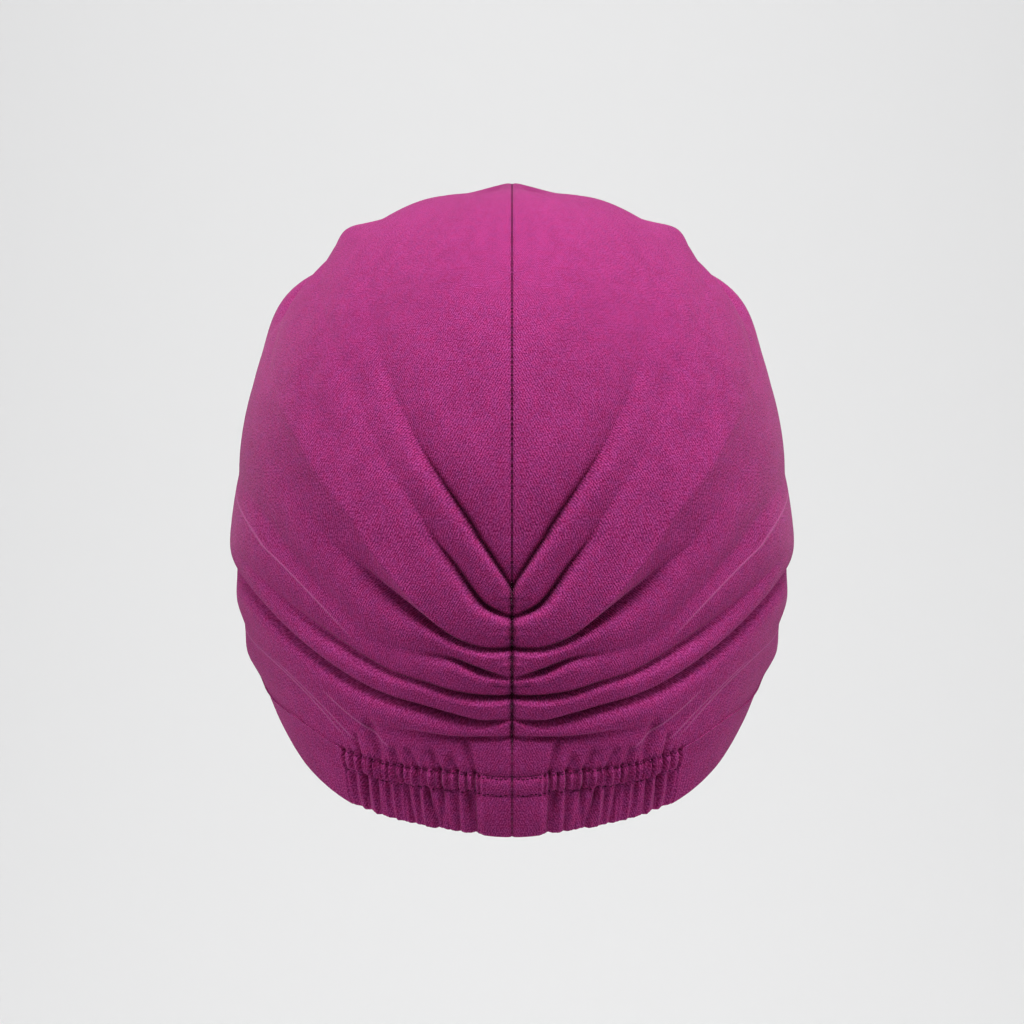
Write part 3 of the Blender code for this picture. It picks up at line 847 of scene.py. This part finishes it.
def hem_face(azimuth, share, wall, gathered):
    """Outer face of the turned hem: its lower edge is a rounded fold, a quarter circle of half the
    wall, and its upper edge stands a little proud. On the casing that edge is drawn in instead, the
    cloth puffs out as a half sine below and above the lower stitch row, both rows draw it in as
    Gaussians and the centre seam is a groove. Returns points on the form, normals and heights."""
    tall = girth(azimuth, 3)
    from_hem = tall * share
    point, normal = base_form(azimuth, hem_run(azimuth) + from_hem)
    half = wall / 2
    rounding = half - np.sqrt(np.clip(half**2 - (half - np.minimum(from_hem, half)) ** 2, 0, None))
    height = relief(azimuth, band_run(azimuth)) * (HEM_CALM + (1 - HEM_CALM) * share) - rounding
    edge = CASING_EDGE if gathered else HEM_EDGE
    height += edge * np.exp(-(tall - from_hem) / EDGE_REACH)
    if gathered:
        row = stitch_row_low(azimuth)
        arc = np.radians(azimuth) * CASING_RADIUS
        height += gathering(azimuth, share)
        height += PUFF_LOW * np.sin(np.pi * np.clip(share / row, 0, 1))
        height += PUFF_HIGH * np.sin(np.pi * np.clip((share - row) / (1 - row), 0, 1))
        height -= CASING_GROOVE * np.exp(-arc / CASING_GROOVE_REACH)
        height -= ROW_DEPTH_LOW * fading((share - row) * CASING_HEIGHT, ROW_REACH)
        height -= ROW_DEPTH_HIGH * fading((share - STITCH_ROW_HIGH) * CASING_HEIGHT, ROW_REACH)
    return point, normal, height


def hem_strip(name, mirrored, start, end, count, wall, gathered):
    """A strip of the turned-up hem between two azimuths, with a calmer inner face one wall below."""
    azimuth, share = np.meshgrid(np.linspace(start, end, count + 1), np.linspace(0, 1, BAND_ROWS + 1))
    point, normal, height = hem_face(azimuth, share, wall, gathered)
    run = hem_run(azimuth) + girth(azimuth, 3) * share
    outer = point + normal * height[..., None]
    depth = wall + seam_allowance(azimuth, run)
    inner = point + normal * (HEM_INSIDE * height - depth)[..., None]
    thin = slice(None, None, INNER_RATIO)
    place = flat_place(azimuth, run)
    return cloth_mesh(name, outer, inner[thin], place, place[thin], mirrored)


def thread_stitches(name, places, directions, outwards, length):
    """Short stitches as one mesh: each is a rod of THREAD_SIDES sides with the rings of STITCH_RINGS
    and closed ends, laid along its direction and bowed outwards in the middle."""
    ahead = directions / np.linalg.norm(directions, axis=1, keepdims=True)
    out = outwards - (outwards * ahead).sum(1, keepdims=True) * ahead
    out /= np.linalg.norm(out, axis=1, keepdims=True)
    side = np.cross(ahead, out)
    turn = np.arange(THREAD_SIDES) * 2 * np.pi / THREAD_SIDES
    along, bow, thick = np.array(STITCH_RINGS).T
    along = along * length
    thick = thick * THREAD_RADIUS
    ring = out[:, None, None] * (bow[:, None] + thick[:, None] * np.cos(turn))[None, ..., None]
    ring = ring + side[:, None, None] * (thick[:, None] * np.sin(turn))[None, ..., None]
    points = places[:, None, None] + ahead[:, None, None] * along[None, :, None, None] + ring
    base = np.arange(len(places))[:, None, None] * THREAD_SIDES * len(along)
    here = np.arange(THREAD_SIDES)
    after = np.roll(here, -1)
    band = np.stack([here, after, after + THREAD_SIDES, here + THREAD_SIDES], 1)
    bands = np.concatenate([band + row * THREAD_SIDES for row in range(len(along) - 1)])
    caps = np.stack([here[::-1], here + (len(along) - 1) * THREAD_SIDES])
    quads = (base + bands[None]).reshape(-1, 4)
    caps = (base + caps[None]).reshape(-1, THREAD_SIDES)
    mesh = bpy.data.meshes.new(name)
    mesh.from_pydata((points.reshape(-1, 3) * MM).tolist(), [], quads.tolist() + caps.tolist())
    weld_repeats(mesh)
    mesh.shade_smooth()
    thing = bpy.data.objects.new(name, mesh)
    bpy.context.scene.collection.objects.link(thing)
    return thing


def casing_threads(name, mirrored):
    """Two rows of stitches along one half of the casing and a short upright one at its end. Each
    lies on the casing's face and points along the step to a place just ahead in its row."""
    arc = np.arange(ROW_START, np.radians(CASING_END) * CASING_RADIUS, ROW_PITCH)
    azimuth = np.degrees(arc / CASING_RADIUS)
    wander = ROW_WANDER * np.sin(azimuth * ROW_CLOSENESS)
    upright = np.arange(UPRIGHT_START, STITCH_ROW_HIGH, ROW_PITCH / UPRIGHT_HEIGHT)
    rows = (
        (azimuth, stitch_row_low(azimuth) + wander, ROW_AHEAD, 0.0),
        (azimuth, STITCH_ROW_HIGH + UPPER_WANDER * wander, ROW_AHEAD, 0.0),
        (np.full_like(upright, CASING_END - UPRIGHT_INSET), upright, 0.0, UPRIGHT_AHEAD),
    )
    side = (-1, 1, 1) if mirrored else (1, 1, 1)
    places, outwards, steps = [], [], []
    for turn, share, sideways, upwards in rows:
        point, normal, height = hem_face(turn, share, CASING_WALL, True)
        ahead = hem_face(turn + sideways, share + upwards, CASING_WALL, True)[0]
        place = point + normal * (height + ROW_LIFT)[:, None]
        places.append((place + (SEAM_GAP / 2, 0, 0)) * side)
        outwards.append(normal * side)
        steps.append((ahead - point) * side)
    places, outwards, steps = (np.concatenate(found) for found in (places, outwards, steps))
    return thread_stitches(name, places, steps, outwards, ROW_STITCH)


def seam_threads(name):
    """Stitches that close the ruched nape seam: spaced with a sine's change, on the middle, and
    slanting by turns to one side and the other."""
    run = np.arange(NAPE_START, RUCHED_BACK[1], NAPE_PITCH)
    run = run + NAPE_CHANGE * np.sin(run * NAPE_CLOSENESS)
    azimuth = np.full_like(run, NAPE_AZIMUTH)
    point, normal = base_form(azimuth, run)
    places = (point + normal * (relief(azimuth, run) + NAPE_LIFT)[:, None]) * (0, 1, 1)
    slant = NAPE_SLANT + SLANT_CHANGE * np.sin(run * SLANT_CLOSENESS)
    slant[1::2] *= -1
    directions = np.stack([slant, np.zeros_like(run), np.ones_like(run)], 1)
    return thread_stitches(name, places, directions, normal * (0, 1, 1), NAPE_STITCH)


def seam_shade_threads(name, azimuth, start):
    """Dark stitches end to end along the seam at one azimuth, evenly spaced from a run up to near the
    apex, each along the line between its neighbours: painted shade that stands for the dark line of the
    seam's groove."""
    run = np.arange(start, CROWN_RUN - CROWN_CLEAR, CROWN_PITCH)
    turn = np.full_like(run, abs(azimuth - CROWN_AZIMUTH))
    point, normal = base_form(turn, run)
    places = (point + normal * (relief(turn, run) + CROWN_LIFT)[:, None]) * (0, 1, 1)
    steps = np.gradient(places, axis=0)
    return thread_stitches(name, places, steps, normal * (0, 1, 1), CROWN_STITCH)


def node_with(tree, kind, **values):
    """A node with its sockets set from values."""
    node = tree.nodes.new(kind)
    for key, value in values.items():
        node.inputs[key.replace("_", " ")].default_value = value
    return node


def mixed(tree, amount, first, second, blend="MIX"):
    """A colour mix of two sockets or colours by an amount or a socket."""
    node = tree.nodes.new("ShaderNodeMix")
    node.data_type = "RGBA"
    node.blend_type = blend
    for index, value in ((0, amount), (6, first), (7, second)):
        if isinstance(value, bpy.types.NodeSocket):
            tree.links.new(value, node.inputs[index])
        else:
            node.inputs[index].default_value = value if index == 0 else (*value, 1)
    return node.outputs[2]


def spread(tree, socket, low, high, to_low, to_high):
    """A value moved from one range to another and held there."""
    node = node_with(tree, "ShaderNodeMapRange")
    for name, value in (("From Min", low), ("From Max", high), ("To Min", to_low), ("To Max", to_high)):
        node.inputs[name].default_value = value
    tree.links.new(socket, node.inputs["Value"])
    return node.outputs["Result"]


def reckon(tree, operation, *values, held=False):
    """One operation of arithmetic on sockets or numbers, held between 0 and 1 if asked."""
    node = tree.nodes.new("ShaderNodeMath")
    node.operation = operation
    node.use_clamp = held
    for index, value in enumerate(values):
        if isinstance(value, bpy.types.NodeSocket):
            tree.links.new(value, node.inputs[index])
        else:
            node.inputs[index].default_value = value
    return node.outputs[0]


def noise(tree, place, scale, detail, roughness):
    """Noise between 0 and 1 over a place."""
    node = node_with(tree, "ShaderNodeTexNoise", Scale=scale, Detail=detail, Roughness=roughness)
    tree.links.new(place, node.inputs["Vector"])
    return node.outputs["Fac"]


def pressed_crest(tree, place, line):
    """1 on one of PRESSED_CRESTS, falling as exp(-(distance / reach)^2) across it and to 0 at both
    its ends, worked out from the cloth's flat place."""
    first, ahead, square, length, sag = parabola(line)
    moved = tree.nodes.new("ShaderNodeVectorMath")
    moved.operation = "SUBTRACT"
    tree.links.new(place, moved.inputs[0])
    moved.inputs[1].default_value = (*(first * MM), 0)
    parts = []
    for direction in (ahead, square):
        node = tree.nodes.new("ShaderNodeVectorMath")
        node.operation = "DOT_PRODUCT"
        tree.links.new(moved.outputs[0], node.inputs[0])
        node.inputs[1].default_value = (*direction, 0)
        parts.append(node.outputs["Value"])
    share = reckon(tree, "DIVIDE", parts[0], length * MM, held=True)
    arch = reckon(tree, "MULTIPLY", share, reckon(tree, "SUBTRACT", 1.0, share))
    away = reckon(tree, "SUBTRACT", parts[1], reckon(tree, "MULTIPLY", arch, 4 * sag * MM))
    away = reckon(tree, "DIVIDE", away, line[7] * MM)
    squared = reckon(tree, "MULTIPLY", away, away)
    across = reckon(tree, "EXPONENT", reckon(tree, "MULTIPLY", squared, -1.0))
    return reckon(tree, "MULTIPLY", across, reckon(tree, "MULTIPLY", arch, CREST_FULLNESS, held=True))


def jersey(name, deep, pale, red, violet):
    """Magenta cotton jersey: pale fibre ends on deep dye as a fine speckle, knitted wales as fine
    slanting ribs, dye that turns towards red and violet by turns, slubs, and a pale fibre sheen at
    grazing angles."""
    material = bpy.data.materials.new(name)
    material.use_nodes = True
    tree = material.node_tree
    shader = tree.nodes["Principled BSDF"]
    flat = tree.nodes.new("ShaderNodeUVMap")
    flat.uv_map = "cloth"
    place = flat.outputs["UV"]
    solid = tree.nodes.new("ShaderNodeTexCoord").outputs["Object"]
    fibre = noise(tree, place, *FIBRE_NOISE)
    hue = noise(tree, place, *HUE_NOISE)
    slub = noise(tree, place, *SLUB_NOISE)
    dye = noise(tree, solid, *DYE_NOISE)
    ribs = tree.nodes.new("ShaderNodeMapping")
    ribs.inputs["Rotation"].default_value = (0, 0, np.radians(WALE_SLANT))
    tree.links.new(place, ribs.inputs["Vector"])
    wale = tree.nodes.new("ShaderNodeTexWave")
    for socket, value in zip(("Scale", "Distortion", "Detail", "Detail Scale"), WALE_WAVE):
        wale.inputs[socket].default_value = value
    tree.links.new(ribs.outputs["Vector"], wale.inputs["Vector"])
    knit = reckon(tree, "MULTIPLY_ADD", wale.outputs["Fac"], WALE_SHARE, fibre)
    cloth = mixed(tree, spread(tree, fibre, *SPECKLE), deep, pale)
    turned = mixed(tree, spread(tree, hue, *HUE_TURN), red, violet)
    cloth = mixed(tree, HUE_SHARE, cloth, turned)
    for shade, (share, *limits) in ((knit, KNIT_SHADE), (slub, SLUB_SHADE), (dye, DYE_SHADE)):
        cloth = mixed(tree, share, cloth, spread(tree, shade, *limits), "MULTIPLY")
    # painted highlight: the cloth is mixed towards a lighter colour along each pressed crest, for the
    # sheen there with some wear
    crests = 0.0
    for line in PRESSED_CRESTS:
        crests = reckon(tree, "ADD", pressed_crest(tree, place, line), crests)
    painted_highlight = reckon(tree, "MULTIPLY", crests, CREST_HIGHLIGHT_SHARE, held=True)
    tree.links.new(mixed(tree, painted_highlight, cloth, CREST_HIGHLIGHT_COLOUR), shader.inputs["Base Color"])
    bump = node_with(tree, "ShaderNodeBump", Strength=BUMP_STRENGTH, Distance=BUMP_DEPTH)
    tree.links.new(reckon(tree, "ADD", knit, crests), bump.inputs["Height"])
    tree.links.new(bump.outputs["Normal"], shader.inputs["Normal"])
    for socket, value in JERSEY_FINISH:
        shader.inputs[socket].default_value = value
    return material


def wear(piece, material, node):
    """The piece takes its material, stands for its node and moves with the whole turban."""
    piece.data.materials.clear()
    piece.data.materials.append(material)
    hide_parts(node)
    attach(piece, "root")


def sew_on(piece, material):
    """A piece of thread that no node stands for."""
    piece.data.materials.append(material)
    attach(piece, "root")


def plain_material(name, colour, roughness):
    """One dull colour all over."""
    material = bpy.data.materials.new(name)
    material.use_nodes = True
    shader = material.node_tree.nodes["Principled BSDF"]
    shader.inputs["Base Color"].default_value = (*colour, 1)
    shader.inputs["Roughness"].default_value = roughness
    return material


def sweep_backdrop():
    """A pale floor that curves up into a wall: a quarter circle between two straight runs."""
    turn = np.linspace(0, np.pi / 2, SWEEP_POINTS)
    back = SWEEP_BEND - SWEEP_RADIUS
    y = np.concatenate([[SWEEP_FRONT], SWEEP_BEND - SWEEP_RADIUS * np.sin(turn), [back]])
    curve = SWEEP_FLOOR + SWEEP_RADIUS * (1 - np.cos(turn))
    z = np.concatenate([[SWEEP_FLOOR], curve, [SWEEP_TOP]])
    x, row = np.meshgrid([-SWEEP_HALF_WIDTH, SWEEP_HALF_WIDTH], np.arange(len(y)))
    points = np.stack([x, y[row], z[row]], -1).reshape(-1, 3)
    ids = np.arange(len(points)).reshape(-1, 2)
    quads = np.stack([ids[:-1, 0], ids[:-1, 1], ids[1:, 1], ids[1:, 0]], 1)
    mesh = bpy.data.meshes.new("pale_sweep")
    mesh.from_pydata(points.tolist(), [], quads.tolist())
    mesh.shade_smooth()
    thing = bpy.data.objects.new("pale_sweep", mesh)
    mesh.materials.append(plain_material("pale_paper", PAPER_COLOUR, PAPER_ROUGHNESS))
    bpy.context.scene.collection.objects.link(thing)


def soft_box(name, place, aim, size, power):
    """A rectangular lamp that faces a point."""
    light = bpy.data.lights.new(name, "AREA")
    light.shape = "RECTANGLE"
    light.size, light.size_y = size
    light.energy = power
    thing = bpy.data.objects.new(name, light)
    thing.location = place
    thing.rotation_euler = (Vector(aim) - Vector(place)).to_track_quat("-Z", "Y").to_euler()
    bpy.context.scene.collection.objects.link(thing)


def studio_air():
    """Faint even light from all round."""
    world = bpy.data.worlds.new("studio")
    bpy.context.scene.world = world
    world.use_nodes = True
    air = world.node_tree.nodes["Background"]
    air.inputs["Color"].default_value = (*AIR_COLOUR, 1)
    air.inputs["Strength"].default_value = AIR_STRENGTH


def place_camera():
    """The camera behind the head, a little above level, with colours shown as they are."""
    lens = bpy.data.cameras.new("camera")
    lens.lens = FOCAL_LENGTH
    lens.sensor_width = SENSOR_WIDTH
    camera = bpy.data.objects.new("camera", lens)
    elevation = np.radians(CAMERA_ELEVATION)
    rise = CAMERA_AIM + CAMERA_DISTANCE * np.sin(elevation)
    camera.location = (0, CAMERA_DISTANCE * np.cos(elevation), rise)
    camera.rotation_euler = (np.pi / 2 - elevation, 0, np.pi)
    bpy.context.scene.collection.objects.link(camera)
    bpy.context.scene.camera = camera
    bpy.context.scene.view_settings.view_transform = "Standard"


magenta = jersey(
    "magenta_jersey",
    deep=(0.200, 0.005, 0.086),
    pale=(0.425, 0.052, 0.230),
    red=(0.37, 0.018, 0.11),
    violet=(0.26, 0.040, 0.20),
)
# real thread for the casing and nape stitches, and painted shade for the crown seam's groove
thread = plain_material("dark_thread_and_seam_shade", THREAD_AND_SEAM_SHADE_COLOUR, THREAD_ROUGHNESS)
thread.node_tree.nodes["Principled BSDF"].inputs["Specular IOR Level"].default_value = THREAD_GLOSS

for side, flip in (("right", True), ("left", False)):
    panel = draped_panel(side + "_draped_panel", flip)
    wear(panel, magenta, side + "_panel")
    casing = hem_strip(
        side + "_gathered_casing", flip, 0.0, CASING_END, CASING_COLUMNS, CASING_WALL, True
    )
    wear(casing, magenta, side + "_nape_casing")
    start = CASING_END + STRIP_GAP
    hem = hem_strip(side + "_turned_hem", flip, start, 180.0, HEM_COLUMNS, HEM_WALL, False)
    wear(hem, magenta, side + "_hem")
    stitches = casing_threads(side + "_casing_stitches", flip)
    sew_on(stitches, thread)
sew_on(seam_threads("nape_seam_stitches"), thread)
# painted shade: dark stitches along the crown seam, at the back and the front, stand for the dark line
# of its groove
sew_on(seam_shade_threads("crown_seam_shade_stitches", 0.0, CROWN_START), thread)
sew_on(seam_shade_threads("front_seam_shade_stitches", 180.0, FRONT_START), thread)

sweep_backdrop()
for lamp in LAMPS:
    soft_box(*lamp)
studio_air()
place_camera()
